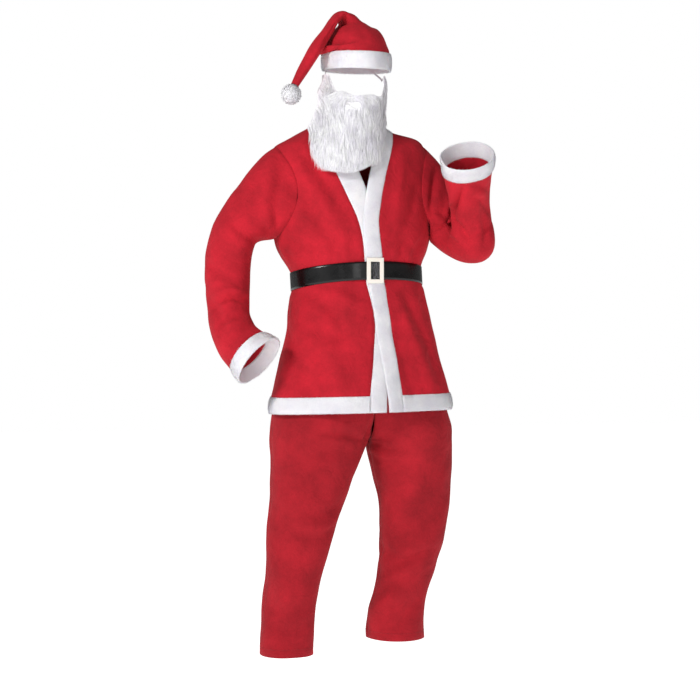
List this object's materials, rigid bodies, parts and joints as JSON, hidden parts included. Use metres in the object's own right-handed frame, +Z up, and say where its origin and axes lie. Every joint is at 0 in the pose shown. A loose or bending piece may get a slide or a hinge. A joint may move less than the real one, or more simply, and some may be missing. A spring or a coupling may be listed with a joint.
{
  "type": "santa suit",
  "caption": "Red felt costume in worn form: belted jacket with white fleece bands, trousers, folded hat with pompom and long white beard.",
  "frame": {"origin": "middle of the wearer's shoulders, level with the base of the neck", "axes": "+X to the wearer's left, -Y the way the suit faces, +Z up"},
  "size_m": [0.8051, 0.5223, 1.8182],
  "materials": {
    "jacket_felt": "brushed felt, soft nap",
    "trouser_felt": "brushed felt, soft nap",
    "fleece": "short white fleece",
    "pompom_fleece": "long tufted fleece",
    "beard_fur": "straight brushed white fur",
    "belt_vinyl": "glossy black vinyl",
    "buckle_plastic": "semi-gloss moulded white plastic",
    "elastic": "flat woven elastic"
  },
  "bodies": {
    "root": {"jacket_back": "jacket_felt", "jacket_front_right": "jacket_felt", "jacket_front_left": "jacket_felt", "front_band_right": "fleece", "front_band_left": "fleece", "hem_band_right": "fleece", "hem_band_left": "fleece", "hem_band_back": "fleece", "sleeve_right": "jacket_felt", "cuff_right": "fleece", "sleeve_left": "jacket_felt", "cuff_left": "fleece", "belt": "belt_vinyl", "belt_buckle": "buckle_plastic", "trousers_front_right": "trouser_felt", "trousers_back_right": "trouser_felt", "trousers_front_left": "trouser_felt", "trousers_back_left": "trouser_felt", "trousers_waistband": "trouser_felt", "hat_crown": "jacket_felt", "hat_band": "fleece", "hat_pompom": "pompom_fleece", "beard": "beard_fur", "beard_elastic": "elastic"}
  },
  "joints": []
}
